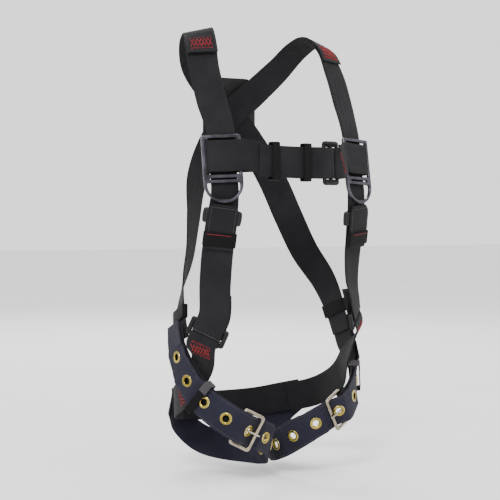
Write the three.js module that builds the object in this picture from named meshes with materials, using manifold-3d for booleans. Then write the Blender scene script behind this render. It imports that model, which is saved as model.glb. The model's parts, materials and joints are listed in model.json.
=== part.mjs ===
// Full-body safety harness in its worn shape, wearer facing -Y, +Z up, millimetres.
// The origin is on the wearer's centre line at crotch height. Every strap is a ribbon
// swept through a few chosen points; metal and plastic pieces are placed on the straps.
import * as THREE from 'three';
import { mergeVertices } from 'three/addons/utils/BufferGeometryUtils.js';
import Module from 'manifold-3d';

const wasm = await Module();
wasm.setup();

// ---- driving dimensions ----
const WEB = 45;              // webbing width
const THICK = 2;             // webbing thickness
const FOLD = 4.4;            // radius of a webbing fold round a bar
const BAR = 5;               // width of ring and buckle bars
const CLEAR = 0.4;           // gap between pieces that touch
const TORSO_STEPS = 33;      // ribbon sections along the torso strap

const RING_WIDTH = 57;       // chest ring, outside
const RING_TOP = 45;         // ring edge above the ring's centre
const RING_WINDOW = -12;     // foot of the ring's window
const RING_SLOT = -18.2;     // centre of the slot under the window
const RING_EYE = -24;        // flat side of the D-shaped eye
const RING_THICK = 5;

const GROMMET_PITCH = 40;    // spacing of the grommets along the leg strap
const GROMMET_R = 9;         // flange radius
const GROMMET_HOLE = 5.3;    // clear hole radius
const GROMMET_COUNT = 8;
const GROMMET_SIDES = 10;

const BUCKLE_LENGTH = 34;    // leg buckle, hinge bar to end bar, outside
const BUCKLE_WIDTH = 56;
const BUCKLE_THICK = 3.6;
const TONGUE_R = 1.7;        // half thickness of the tongue
const TONGUE_WIDTH = 3.2;
const TONGUE_EYE = 5.6;      // outside radius of the eye round the hinge bar
const TONGUE_BORE = 3.6;

const ADJUSTER_WIDTH = 60;
const ADJUSTER_HEIGHT = 27;
const ADJUSTER_MIDDLE = -1.5;  // frame's centre below the sliding bar
const ADJUSTER_FOOT = ADJUSTER_MIDDLE - ADJUSTER_HEIGHT / 2 + BAR / 2;  // bottom bar
const BAR_HEIGHT = 4.4;      // sliding bar

const KEEPER_WALL = 1.6;     // elastic keeper bands
const KEEPER_LENGTH = 12;
const KEEPER_WIDTH = 47;     // inside, on one strap
const CHEST_KEEPER = { width: 51, depth: 10.4 };    // inside, round two layers of webbing
const LEG_KEEPER_DEPTH = 12.4;
const LEG_KEEPER_AT = 90;    // past the leg buckle
const BACK_KEEPER = { depth: 5.2, length: 20 };

const SLIDER = { depth: 4, wall: 2.2, length: 22 };              // lanyard keeper
const TAB = { width: 44.8, depth: 3.6, wall: 1.2, length: 20 };
const FLAP_WIDTH = 44;
const FLAP_LIFT = 5.9;       // flap's middle above the torso strap's

const V = (x, y, z) => new THREE.Vector3(x, y, z);
const smooth = (f) => f * f * (3 - 2 * f);
const clamp01 = (f) => Math.min(Math.max(f, 0), 1);

// ---- looks ----
function look(color, roughness, metalness) {
  return new THREE.MeshStandardMaterial({ color, roughness, metalness });
}
const webbing = look(0x1c1d22, 0.9, 0);
const legWebbing = look(0x1b1c2c, 0.9, 0);
const trim = look(0x3a3b3f, 0.7, 0);
const gunmetal = look(0x6c6c7a, 0.35, 0.9);
const blackMetal = look(0x17181b, 0.45, 0.6);
const nickel = look(0xc9bfa6, 0.22, 1);
const brass = look(0xb59a55, 0.3, 1);

// ---- strap frames: point p, running direction t, outward n, width direction w ----
// A waypoint is [x, y, z, outward x, y, z, optional width].
function strapFrames(waypoints, steps, lift = 0) {
  const curve = curveThrough(waypoints.map((q) => V(q[0], q[1], q[2])));
  const frames = [];
  for (let i = 0; i <= steps; i++) frames.push(frameAt(curve, waypoints, i / steps, lift));
  return frames;
}

function curveThrough(points) {
  return new THREE.CatmullRomCurve3(points, false, 'centripetal');
}

function frameAt(curve, waypoints, s, lift) {
  const k = Math.min(s * (waypoints.length - 1), waypoints.length - 1 - 1e-9);
  const a = waypoints[Math.floor(k)];
  const b = waypoints[Math.floor(k) + 1];
  const f = k - Math.floor(k);
  const t = curve.getTangent(s).normalize();
  const n = V(a[3], a[4], a[5]).normalize().lerp(V(b[3], b[4], b[5]).normalize(), f);
  n.addScaledVector(t, -n.dot(t)).normalize();
  const w = t.clone().cross(n);
  const width = (a[6] ?? WEB) * (1 - f) + (b[6] ?? WEB) * f;
  return { p: curve.getPoint(s).addScaledVector(n, lift), t, n, w, width };
}

// Half turn of the ribbon round a bar, to the outside (side 1) or inside (side -1).
function turnFrames(last, radius, side, steps = 8) {
  const frames = [];
  const centre = last.p.clone().addScaledVector(last.n, radius * side);
  for (let i = 1; i <= steps; i++) {
    const a = (Math.PI * i) / steps;
    const p = centre.clone()
      .addScaledVector(last.n, -side * radius * Math.cos(a))
      .addScaledVector(last.t, radius * Math.sin(a));
    const t = last.t.clone().multiplyScalar(Math.cos(a)).addScaledVector(last.n, side * Math.sin(a));
    const n = last.w.clone().cross(t);
    frames.push({ p, t, n, w: last.w.clone(), width: last.width });
  }
  return frames;
}

// Frame at the end of a straight run.
const runFrame = (last, length) => ({ ...last, p: last.p.clone().addScaledVector(last.t, length) });

// ---- solids ----
function closed(positions, index) {
  const g = new THREE.BufferGeometry();
  g.setAttribute('position', new THREE.Float32BufferAttribute(positions, 3));
  g.setIndex(index);
  return g;
}

function ribbon(frames, thickness = THICK) {
  const pos = [];
  const index = [];
  for (const f of frames) {
    for (const [a, b] of [[-1, -1], [1, -1], [1, 1], [-1, 1]]) {
      const c = f.p.clone().addScaledVector(f.w, (a * f.width) / 2).addScaledVector(f.n, (b * thickness) / 2);
      pos.push(c.x, c.y, c.z);
    }
  }
  const last = (frames.length - 1) * 4;
  for (let i = 0; i < last; i += 4) {
    for (let k = 0; k < 4; k++) {
      const m = (k + 1) % 4;
      index.push(i + k, i + m, i + 4 + m, i + k, i + 4 + m, i + 4 + k);
    }
  }
  index.push(0, 2, 1, 0, 3, 2, last, last + 1, last + 2, last, last + 2, last + 3);
  const g = closed(pos, index);
  return volume(g) < 0 ? flipped(g) : g;
}

function volume(g) {
  const p = g.attributes.position;
  const ix = g.index.array;
  let sum = 0;
  for (let i = 0; i < ix.length; i += 3) {
    const [a, b, c] = [0, 1, 2].map((k) => V().fromBufferAttribute(p, ix[i + k]));
    sum += a.dot(b.cross(c)) / 6;
  }
  return sum;
}

function flipped(g) {
  const ix = Array.from(g.index.array);
  for (let i = 0; i < ix.length; i += 3) [ix[i], ix[i + 1]] = [ix[i + 1], ix[i]];
  g.setIndex(ix);
  return g;
}

function solid(g) {
  const bare = g.clone();
  bare.deleteAttribute('normal');
  bare.deleteAttribute('uv');
  return mergeVertices(bare, 1e-4);
}

function manifold(g) {
  const s = solid(g);
  return new wasm.Manifold(new wasm.Mesh({
    numProp: 3,
    vertProperties: new Float32Array(s.attributes.position.array),
    triVerts: new Uint32Array(s.index.array),
  }));
}

function fromManifold(m) {
  const mesh = m.getMesh();
  return closed(Array.from(mesh.vertProperties), Array.from(mesh.triVerts));
}

// ---- placing: local x = across, y = up the piece, z = outward ----
function basis(p, up, n) {
  const u = up.clone().cross(n).normalize();
  const v = n.clone().cross(u).normalize();
  return new THREE.Matrix4().makeBasis(u, v, n.clone().normalize()).setPosition(p);
}

function onStrap(frame, lift = 0) {
  return basis(frame.p.clone().addScaledVector(frame.n, lift), frame.t.clone().negate(), frame.n);
}

// Flat plate of the given outline, centred on the local z = 0 plane.
function slab(shape, thickness, matrix, curveSegments = 6) {
  const g = new THREE.ExtrudeGeometry(shape, { depth: thickness, bevelEnabled: false, curveSegments });
  g.translate(0, 0, -thickness / 2);
  return solid(g).applyMatrix4(matrix);
}

// Rectangle centred on (x, y), with corners of radius r.
function box(w, h, x = 0, y = 0, r = 0, Kind = THREE.Shape) {
  const [l, b, e, t] = [x - w / 2, y - h / 2, x + w / 2, y + h / 2];
  if (r === 0) return new Kind([[l, b], [e, b], [e, t], [l, t]].map(([i, j]) => new THREE.Vector2(i, j)));
  const s = new Kind();
  s.absarc(e - r, b + r, r, -Math.PI / 2, 0);
  s.absarc(e - r, t - r, r, 0, Math.PI / 2);
  s.absarc(l + r, t - r, r, Math.PI / 2, Math.PI);
  s.absarc(l + r, b + r, r, Math.PI, 1.5 * Math.PI);
  s.closePath();
  return s;
}

function framePlate(outer, holes) {
  outer.holes.push(...holes);
  return outer;
}

// A band that closes round webbing: local z is outward, y along the strap.
function sleeve(frame, innerWidth, innerDepth, wall, length, lift = 0) {
  const shape = box(innerWidth + 2 * wall, innerDepth + 2 * wall, 0, 0, 1.2);
  shape.holes.push(box(innerWidth, innerDepth, 0, 0, 0, THREE.Path));
  const g = new THREE.ExtrudeGeometry(shape, { depth: length, bevelEnabled: false, curveSegments: 3 });
  g.translate(0, 0, -length / 2);
  const m = new THREE.Matrix4().makeBasis(frame.w, frame.n, frame.w.clone().cross(frame.n));
  m.setPosition(frame.p.clone().addScaledVector(frame.n, lift));
  return solid(g).applyMatrix4(m);
}

const group = new THREE.Group();
function add(name, geometry, material) {
  const mesh = new THREE.Mesh(geometry, material);
  mesh.name = name;
  group.add(mesh);
}

function mirrored(g) {
  return flipped(g.clone().applyMatrix4(new THREE.Matrix4().makeScale(-1, 1, 1)));
}

// Pieces of the wearer's left side are built at +X; the right side is their mirror image.
function addPair(name, build, material) {
  add(`${name}_left`, build('left'), material);
  add(`${name}_right`, mirrored(build('right')), material);
}

// ---- strap routes, wearer's left side ----
const LEG_RISE = { left: 18, right: 0 };       // the left leg loop is worn a little higher
const ADJUSTER_Z = { left: 167, right: 150 };
const SHOULDER = [98, 26, 582];

const torsoRoute = (side) => [
  [...SHOULDER, 0.2, 0.1, 1],
  [107, 2, 566, 0.3, -0.5, 0.8],
  [112, -18, 530, 0.3, -0.9, 0.5],
  [112, -43, 479, 0.3, -0.9, 0.35],
  [110, -64.5, 436, 0.31, -0.95, 0.16, 40],
  [110.3, -73, 386, 0.31, -0.95, 0.16, 38],
  [110.8, -79, 348, 0.31, -0.95, 0.16, 40],
  [114, -72, 300, 0.35, -0.93, -0.1],
  [115, -63, 258, 0.45, -0.9, -0.1],
  [116.5, -60, 218, 0.55, -0.83, -0.05],
  [120, -63, ADJUSTER_Z[side] + 25, 0.66, -0.75, 0],
  [128, -57.5, ADJUSTER_Z[side] + 3, 0.7, -0.71, 0.03],
];

// The hip strap leaves the adjuster's bottom bar in the adjuster's own plane.
const hipRoute = (side) => [
  ...[ADJUSTER_FOOT, ADJUSTER_FOOT - 10].map((v) => {
    const set = adjusterBasis(side);
    const out = V().setFromMatrixColumn(set, 2);
    return [...V(0, v, FOLD).applyMatrix4(set).toArray(), ...out.toArray()];
  }),
  [123, -32, 104, 0.92, -0.38, 0],
  [127, -8, 72, 1, -0.05, 0],
  [128, 30, 50, 0.95, 0.32, -0.1],
  [120, 64, 36, 0.75, 0.65, -0.1],
  [94, 88, 28, 0.5, 0.86, -0.1],
];

// The back strap laps over the front of the shoulder and ends on the opposite hip.
const BACK_ROUTE = [
  [111.4, -12, 551, 0.3, -0.75, 0.6],
  [108.2, 0, 569.6, 0.3, -0.5, 0.8],
  [98.8, 27, 586, 0.2, 0.1, 1],
  [90, 58, 575, 0.1, 0.7, 0.7],
  [72, 86, 545, 0, 0.95, 0.3],
  [36, 100, 508, 0, 1, 0.1],
  [0, 105, 476, 0, 1, 0],
  [-38, 102, 428, -0.1, 1, 0],
  [-68, 92, 372, -0.35, 0.92, 0],
  [-84, 72, 315, -0.6, 0.8, 0],
  [-100, 52, 262, -0.75, 0.65, 0],
  [-122, 32, 215, -0.9, 0.4, 0],
  [-133, 18, 172, -1, 0.15, 0],
  [-136, 6, 136, -1, 0, 0],
];

// The leg strap lies flat on the thigh up to the buckle and rides over the buckle beyond it.
const legRoute = (side) => {
  const up = LEG_RISE[side];
  return [
    [115, 87, 34, 0.7, 0.72, -0.1],
    [90, 109, 3, 0.25, 0.9, -0.3],
    [57, 95, -28, -0.3, 0.8, -0.4],
    [16, 20, -34, -0.95, 0.15, -0.2],
    [12, -24, -28 + up * 0.3, -0.9, -0.4, 0],
    [24, -58, -12 + up * 0.5, -0.6, -0.8, -0.1],
    [48, -76, 0 + up * 0.8, -0.2, -1, -0.15],
    [76, -78, 12 + up, 0.15, -1, -0.1],
    [100, -64, 30 + up, 0.55, -0.85, 0],
    [119, -40, 54 + up * 0.8, 0.8, -0.6, 0],
    [132, -20, 86 + up * 0.4, 0.95, -0.3, 0],
    [134, 2, 124, 1, 0, 0],
    [132, 12, 158, 1, 0.1, 0],
  ];
};
const BUCKLE_AT = 7 / 12;      // place of the leg buckle along the leg route
const OVER_BUCKLE = 15;        // how far the free end rides above the route
const BUCKLE_LIFT = 4.4;       // buckle plane above the route

function legFrames(side, from, to, steps, liftAt) {
  const route = legRoute(side);
  const curve = curveThrough(route.map((q) => V(q[0], q[1], q[2])));
  const frames = [];
  for (let i = 0; i <= steps; i++) {
    const s = from + ((to - from) * i) / steps;
    frames.push(frameAt(curve, route, s, liftAt(s)));
  }
  return straightened(frames);
}

// Tangents and normals again from the lifted points.
function straightened(frames) {
  return frames.map((f, i) => {
    const a = frames[Math.max(i - 1, 0)].p;
    const b = frames[Math.min(i + 1, frames.length - 1)].p;
    const t = b.clone().sub(a).normalize();
    const n = f.n.clone().addScaledVector(t, -f.n.dot(t)).normalize();
    return { ...f, t, n, w: t.clone().cross(n) };
  });
}

// The strap rises from under the end bar to over the hinge bar inside the buckle window.
const RISE_SPAN = 0.032;
const overBuckle = (s) => OVER_BUCKLE * smooth(clamp01((s - BUCKLE_AT + RISE_SPAN) / (2 * RISE_SPAN)));

const buckleFrame = (side) => legFrames(side, BUCKLE_AT - 0.05, BUCKLE_AT + 0.05, 2, () => BUCKLE_LIFT)[1];

// Local x along the strap towards the hip, z outward.
function buckleBasis(side) {
  const b = buckleFrame(side);
  return new THREE.Matrix4().makeBasis(b.t, b.n.clone().cross(b.t), b.n).setPosition(b.p);
}

// ---- webbing ----
const TAIL_SECTIONS = 5;
const torsoFrames = (side) => strapFrames(torsoRoute(side), TORSO_STEPS);

// The strap folds round the adjuster's sliding bar and its tail runs back up behind it.
function torsoStrap(side) {
  const frames = torsoFrames(side);
  const turn = turnFrames(frames.at(-1), FOLD, -1);
  const behind = strapFrames(torsoRoute(side), TORSO_STEPS, -2 * FOLD).slice(-TAIL_SECTIONS - 1, -1);
  const tail = behind.reverse().map((f) => ({ ...f, t: f.t.negate(), n: f.n.negate() }));
  return ribbon([...frames, ...turn, ...tail]);
}

const BACK_LIFT = { left: 0, right: 4 };     // the right back strap crosses over the left one
const BACK_STEPS = 39;
const backFrames = (side) => strapFrames(BACK_ROUTE, BACK_STEPS, BACK_LIFT[side]);
const backStrap = (side) => ribbon(backFrames(side));

function hipStrap(side) {
  const frames = strapFrames(hipRoute(side), 24);
  const up = { ...frames[0], t: frames[0].t.clone().negate(), w: frames[0].w.clone().negate() };
  const turn = turnFrames(up, FOLD, -1);
  const loop = [...turn, runFrame(turn.at(-1), 5)].reverse();
  return ribbon([...loop.map((f) => ({ ...f, w: frames[0].w })), ...frames]);
}

function seatStrap() {
  const half = [
    [0, 110, 20, 0, 1, 0],
    [50, 106, 22, 0.25, 0.97, -0.05],
    [88, 97, 28, 0.5, 0.86, -0.1],
    [112, 80, 34, 0.72, 0.7, -0.1],
  ];
  const other = half.slice(1).reverse().map(([x, y, z, a, b, c]) => [-x, y, z, -a, b, c]);
  return ribbon(strapFrames([...other, ...half], 18, 3.4));
}

const HINGE_REACH = BUCKLE_LENGTH / 2 - BAR / 2;    // buckle centre to its end bars
const TONGUE_SLOT = [22, TONGUE_WIDTH + 4, 16];     // opening in the fold, for the tongue's eye
const UNDER_LEG_STRAP = 9.6;    // lift of the buckle strap, below the free end

function legBuckleStrap(side) {
  const b = buckleFrame(side);
  const frames = legFrames(side, 1, BUCKLE_AT + 0.085, 16, () => UNDER_LEG_STRAP);
  const t = b.t.clone().negate();
  const p = b.p.clone().addScaledVector(b.t, HINGE_REACH).addScaledVector(b.n, FOLD);
  const hinge = { ...b, p, t, w: t.clone().cross(b.n) };
  const turn = turnFrames(hinge, FOLD, -1);
  const strap = ribbon([...frames, hinge, ...turn, runFrame(turn.at(-1), 15)]);
  const slot = new THREE.BoxGeometry(...TONGUE_SLOT).applyMatrix4(buckleBasis(side));
  slot.translate(...b.t.clone().multiplyScalar(HINGE_REACH).toArray());
  return fromManifold(manifold(strap).subtract(manifold(slot)));
}

function legStrapFrames(side) {
  return legFrames(side, 0, 1, 48, overBuckle);
}

// Frame of the leg strap at a distance past the buckle, along the webbing.
function alongLeg(side, distance) {
  const frames = legStrapFrames(side);
  const along = [0];
  for (let i = 1; i < frames.length; i++) along.push(along[i - 1] + frames[i].p.distanceTo(frames[i - 1].p));
  const target = along[Math.round(BUCKLE_AT * (frames.length - 1))] + distance;
  const i = Math.max(along.findIndex((v) => v >= target), 1);
  const f = (target - along[i - 1]) / (along[i] - along[i - 1]);
  const [a, b] = [frames[i - 1], frames[i]];
  const p = a.p.clone().lerp(b.p, f);
  const t = b.p.clone().sub(a.p).normalize();
  const n = a.n.clone().lerp(b.n, f);
  n.addScaledVector(t, -n.dot(t)).normalize();
  return { ...a, p, t, n, w: t.clone().cross(n) };
}

const TONGUE_GROMMET = 3;      // the grommet that the tongue goes through
const AT_TONGUE = -1;          // and its place past the buckle's centre

function grommetFrames(side) {
  const numbers = Array.from({ length: GROMMET_COUNT }, (_, k) => k - TONGUE_GROMMET);
  return numbers.map((k) => alongLeg(side, k * GROMMET_PITCH + AT_TONGUE));
}

// Spool with its axis along the outward direction; `grow` makes the seat cut for it.
function spool(frame, bore, grow) {
  const [neck, face, edge, rim] = [GROMMET_HOLE + 0.9 + grow, 1.3 - grow, 1.9 + 2 * grow, GROMMET_R + grow];
  const profile = [[bore, -edge], [rim, -edge], [rim, -face], [neck, -face], [neck, face],
    [rim, face], [rim, edge], [bore, edge], [bore, -edge]];
  const g = new THREE.LatheGeometry(profile.map(([x, y]) => new THREE.Vector2(x, y)), GROMMET_SIDES);
  const matrix = new THREE.Matrix4().makeBasis(frame.t, frame.n, frame.t.clone().cross(frame.n));
  const s = solid(g).applyMatrix4(matrix.setPosition(frame.p));
  return volume(s) < 0 ? flipped(s) : s;
}

function legStrap(side) {
  let m = manifold(ribbon(legStrapFrames(side)));
  for (const f of grommetFrames(side)) m = m.subtract(manifold(spool(f, 0, 0.25)));
  return fromManifold(m);
}

// ---- hardware ----
const RING_SHIFT = 2;         // the ring sits off the strap's centre, towards the arm
const RING_FOLD_AT = 17;      // centre of the chest strap's fold, across the ring
const CHEST_BAR_AT = 12;      // outer bars of the chest buckle from its middle bar
const RING_AT = 0.455;        // place of the chest ring along the torso route

const ringFrame = (side) => {
  const frames = torsoFrames(side);
  return frames[Math.round(RING_AT * TORSO_STEPS)];
};

function chestRing(side) {
  const w = RING_WIDTH / 2;
  const outer = new THREE.Shape();
  outer.moveTo(-w, RING_TOP);
  outer.lineTo(-w, RING_EYE);
  outer.absarc(0, RING_EYE, w, Math.PI, 2 * Math.PI);
  outer.lineTo(w, RING_TOP);
  outer.closePath();
  const eye = new THREE.Path();
  eye.absarc(0, RING_EYE, w - BAR, Math.PI, 2 * Math.PI);
  eye.closePath();
  const [head, foot] = [RING_TOP - BAR, RING_WINDOW];
  const plate = framePlate(outer, [
    box(RING_WIDTH - 2 * BAR, head - foot, 0, (head + foot) / 2, 0, THREE.Path),
    box(RING_WIDTH - 2 * BAR, 2.5, 0, RING_SLOT, 0, THREE.Path),
    eye,
  ]);
  const set = onStrap(ringFrame(side), 5).multiply(new THREE.Matrix4().makeTranslation(RING_SHIFT, 0, 0));
  return slab(plate, RING_THICK, set);
}

// Adjuster: the torso strap folds round the sliding bar, the hip strap round the bottom bar.
function adjusterBasis(side) {
  const f = torsoFrames(side).at(-1);
  return onStrap(f, -FOLD);
}

const ADJUSTER_SIDE = 5.5;    // width of the frame's side bars

function adjusterFrame(side) {
  const plate = framePlate(box(ADJUSTER_WIDTH, ADJUSTER_HEIGHT, 0, ADJUSTER_MIDDLE, 4), [
    box(ADJUSTER_WIDTH - 2 * ADJUSTER_SIDE, ADJUSTER_HEIGHT - 2 * BAR, 0, ADJUSTER_MIDDLE, 0, THREE.Path),
  ]);
  return slab(plate, 3, adjusterBasis(side));
}

function adjusterBar(side) {
  const length = ADJUSTER_WIDTH - 2 * ADJUSTER_SIDE - 2 * CLEAR;
  return slab(box(length, BAR_HEIGHT, 0, 0, 1.5), 4, adjusterBasis(side));
}

function legBuckle(side) {
  const plate = framePlate(box(BUCKLE_LENGTH, BUCKLE_WIDTH, 0, 0, 4), [
    box(BUCKLE_LENGTH - 2 * BAR, BUCKLE_WIDTH - 2 * BAR, 0, 0, 0, THREE.Path),
  ]);
  return slab(plate, BUCKLE_THICK, buckleBasis(side));
}

// The tongue is a flat rod with an eye round the hinge bar; its tip rests on the end bar.
function buckleTongue(side) {
  const upright = new THREE.Matrix4().makeRotationX(Math.PI / 2);
  const place = buckleBasis(side).multiply(upright);
  const eye = new THREE.Shape();
  eye.absarc(HINGE_REACH, 0, TONGUE_EYE, 0, 2 * Math.PI);
  const bore = new THREE.Shape();
  bore.absarc(HINGE_REACH, 0, TONGUE_BORE, 0, 2 * Math.PI);
  const rest = 4.96;                   // height of the arm at its tip
  const tip = -HINGE_REACH - 3.5;
  const arm = new THREE.Shape([
    new THREE.Vector2(HINGE_REACH, -TONGUE_R), new THREE.Vector2(HINGE_REACH, TONGUE_R),
    new THREE.Vector2(tip, rest + TONGUE_R), new THREE.Vector2(tip, rest - TONGUE_R),
  ]);
  const part = (shape, width) => manifold(slab(shape, width, place, 10));
  return fromManifold(part(eye, TONGUE_WIDTH).add(part(arm, TONGUE_WIDTH)).subtract(part(bore, 10)));
}

// ---- chest strap: long side on the wearer's right, short loop on the left ----
const CHEST_UP = 14;          // chest strap centre above the ring's centre
const BEHIND = -3.4;          // rear layer, behind the torso strap
const INFRONT = 9.2;          // front layer, over the ring's inner bar
const CHEST_BUCKLE = V(51, -101, 393);
const CHEST_BUCKLE_OUT = V(0.1, -1, 0.05);

// Frames of a level strap through given points; its width starts along `first` and becomes upright.
function levelFrames(points, steps, first = V(0, 0, 1), hold = 0.25) {
  const curve = curveThrough(points);
  return Array.from({ length: steps + 1 }, (_, i) => {
    const t = curve.getTangent(i / steps).normalize();
    const level = smooth(clamp01((i / steps - hold) / 0.4));
    const up = first.clone().lerp(V(0, 0, 1), level);
    const w = up.addScaledVector(t, -up.dot(t)).normalize();
    return { p: curve.getPoint(i / steps), t, w, n: w.clone().cross(t), width: WEB };
  });
}

// Point in the ring's own axes: across (away from the chest's middle), up, outward.
function atRing(side, across, out) {
  return V(across, CHEST_UP, out).applyMatrix4(onStrap(ringFrame(side)));
}

// Rear layer, fold through the ring window and start of the front layer.
function ringLoop(side, rearLength) {
  const up = onStrap(ringFrame(side));
  const v = V().setFromMatrixColumn(up, 1);
  const ends = [atRing(side, -rearLength, BEHIND), atRing(side, RING_FOLD_AT, BEHIND)];
  const rear = levelFrames(ends, 4, v).map((f) => ({ ...f, w: v, n: v.clone().cross(f.t) }));
  const last = rear.at(-1);
  const outward = V().setFromMatrixColumn(up, 2);
  const facing = last.n.dot(outward) > 0 ? 1 : -1;
  const turn = turnFrames(last, (INFRONT - BEHIND) / 2, facing);
  return { rear, turn, v };
}

function chestBuckleBasis(mirror) {
  const m = mirror ? -1 : 1;
  const p = CHEST_BUCKLE.clone().setX(m * CHEST_BUCKLE.x);
  const n = CHEST_BUCKLE_OUT.clone().setX(m * CHEST_BUCKLE_OUT.x);
  return basis(p, V(0, 0, 1), n);
}

// Fold round a bar of the chest buckle, outwards (1) or inwards (-1), from a strap that arrives along -x.
function buckleFold(last, set, way) {
  const t = V().setFromMatrixColumn(set, 0).negate();
  const w = V().setFromMatrixColumn(set, 1);
  const n = w.clone().cross(t);
  const facing = Math.sign(n.dot(V().setFromMatrixColumn(set, 2)));
  return turnFrames({ ...last, t, w, n }, FOLD, way * facing);
}

// Built on the +X side and mirrored, so the buckle is beyond the middle, at -X.
function chestStrapLong() {
  const { rear, turn, v } = ringLoop('right', 46);
  const set = chestBuckleBasis(true);
  const front = [
    turn.at(-1).p, atRing('right', -12, INFRONT), atRing('right', -34, INFRONT),
    V(48, -95.5, 395), V(8, -98, 393),
    V(16, 0, -FOLD).applyMatrix4(set), V(0, 0, -FOLD).applyMatrix4(set),
  ];
  const run = levelFrames(front, 26, v).slice(1);
  const fold = buckleFold(run.at(-1), set, 1);
  const tail = [
    fold.at(-1).p, V(17, 0, FOLD).applyMatrix4(set),
    V(-12, -101.4, 393.2), V(20, -101, 393.6), V(64, -97.2, 395),
  ];
  return mirrored(ribbon([...rear, ...turn, ...run, ...fold, ...levelFrames(tail, 16).slice(1)]));
}

function chestLoopShort() {
  const { rear, turn, v } = ringLoop('left', 26);
  const set = chestBuckleBasis(false);
  const front = [
    turn.at(-1).p, atRing('left', -12, INFRONT + 1), atRing('left', -29, INFRONT + 2),
    V(CHEST_BAR_AT + 6, 0, FOLD).applyMatrix4(set), V(CHEST_BAR_AT, 0, FOLD).applyMatrix4(set),
  ];
  const run = levelFrames(front, 10, v, 0.6).slice(1);
  const fold = buckleFold(run.at(-1), set, -1);
  return ribbon([...rear, ...turn, ...run, ...fold, runFrame(fold.at(-1), 10)]);
}

function chestBuckle() {
  const [bay, height] = [8, 54];
  const plate = framePlate(box(CHEST_BAR_AT * 2 + 4, 64, 0, 0, 3), [
    box(bay, height, -CHEST_BAR_AT / 2, 0, 0, THREE.Path),
    box(bay, height - CLEAR, CHEST_BAR_AT / 2, 0, 0, THREE.Path),
  ]);
  return slab(plate, 4, chestBuckleBasis(false));
}

// ---- keepers ----
function chestKeeper(x, y, z) {
  const frame = { p: V(x, y, z), t: V(1, 0, 0), n: V(0, -1, 0), w: V(0, 0, 1) };
  return sleeve(frame, CHEST_KEEPER.width, CHEST_KEEPER.depth, KEEPER_WALL, KEEPER_LENGTH);
}

function legKeeper(side) {
  const place = alongLeg(side, LEG_KEEPER_AT);
  return sleeve(place, KEEPER_WIDTH, LEG_KEEPER_DEPTH, KEEPER_WALL, KEEPER_LENGTH, -2);
}

// Wide band near the lower end of each back strap.
const BACK_KEEPER_AT = 36;     // section of the back strap that it sits on

function backKeeper(side) {
  const place = backFrames(side)[BACK_KEEPER_AT];
  return sleeve(place, KEEPER_WIDTH, BACK_KEEPER.depth, KEEPER_WALL, BACK_KEEPER.length);
}

const SLIDER_AT = 0.607;       // places of the lanyard keeper along the torso route
const FLAP_TOP = 0.575;
const FLAP_SPAN = 0.125;
const FLAP_STEPS = 12;
const TAB_AT = 9;              // section of the flap that the tab sits on
const torsoAt = (side, s) => {
  const route = torsoRoute(side);
  return frameAt(curveThrough(route.map((q) => V(q[0], q[1], q[2]))), route, s, 0);
};

function keeperSlider(side) {
  return sleeve(torsoAt(side, SLIDER_AT), KEEPER_WIDTH, SLIDER.depth, SLIDER.wall, SLIDER.length);
}

function flapFrames(side) {
  return Array.from({ length: FLAP_STEPS + 1 }, (_, i) => {
    const f = torsoAt(side, FLAP_TOP + (FLAP_SPAN * i) / FLAP_STEPS);
    return { ...f, p: f.p.clone().addScaledVector(f.n, FLAP_LIFT), width: FLAP_WIDTH };
  });
}

const keeperFlap = (side) => ribbon(flapFrames(side));
const keeperTab = (side) => sleeve(flapFrames(side)[TAB_AT], TAB.width, TAB.depth, TAB.wall, TAB.length);

// ---- dorsal plate and D-ring ----
const PLATE_Y = 113;
const DORSAL_Z = 478;
const PLATE_SIZE = [92, 110];
const LUG_AT = 15;             // lugs each side of the middle
const DORSAL_PIVOT = V(0, PLATE_Y + 2 + 5.6, DORSAL_Z + 16);

function dorsalPlate() {
  const set = basis(V(0, PLATE_Y, DORSAL_Z), V(0, 0, 1), V(0, 1, 0));
  let m = manifold(slab(box(...PLATE_SIZE, 0, 0, 18), 4, set));
  for (const x of [-LUG_AT, LUG_AT]) {
    const lug = new THREE.Shape();
    lug.absarc(0, 0, 8, -Math.PI / 2, Math.PI / 2);
    lug.lineTo(-6.5, 8);
    lug.lineTo(-6.5, -8);
    lug.closePath();
    const hole = new THREE.Shape();
    hole.absarc(0, 0, 5.4, 0, 2 * Math.PI);
    const place = new THREE.Matrix4().makeBasis(V(0, 1, 0), V(0, 0, 1), V(1, 0, 0));
    place.setPosition(V(x, DORSAL_PIVOT.y, DORSAL_PIVOT.z));
    m = m.add(manifold(slab(lug, 8, place))).subtract(manifold(slab(hole, 12, place, 12)));
  }
  return fromManifold(m);
}

function dorsalRing() {
  const [w, bar, arc] = [31, 7, -20];
  const outer = new THREE.Shape();
  outer.moveTo(-w, bar / 2);
  outer.lineTo(-w, arc);
  outer.absarc(0, arc, w, Math.PI, 2 * Math.PI);
  outer.lineTo(w, bar / 2);
  outer.closePath();
  const eye = new THREE.Path();
  eye.moveTo(-w + bar, -bar / 2);
  eye.lineTo(-w + bar, arc);
  eye.absarc(0, arc, w - bar, Math.PI, 2 * Math.PI);
  eye.lineTo(w - bar, -bar / 2);
  eye.closePath();
  outer.holes.push(eye);
  return slab(outer, 6.4, basis(DORSAL_PIVOT, V(0, 0, 1), V(0, 1, 0)), 10);
}

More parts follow.
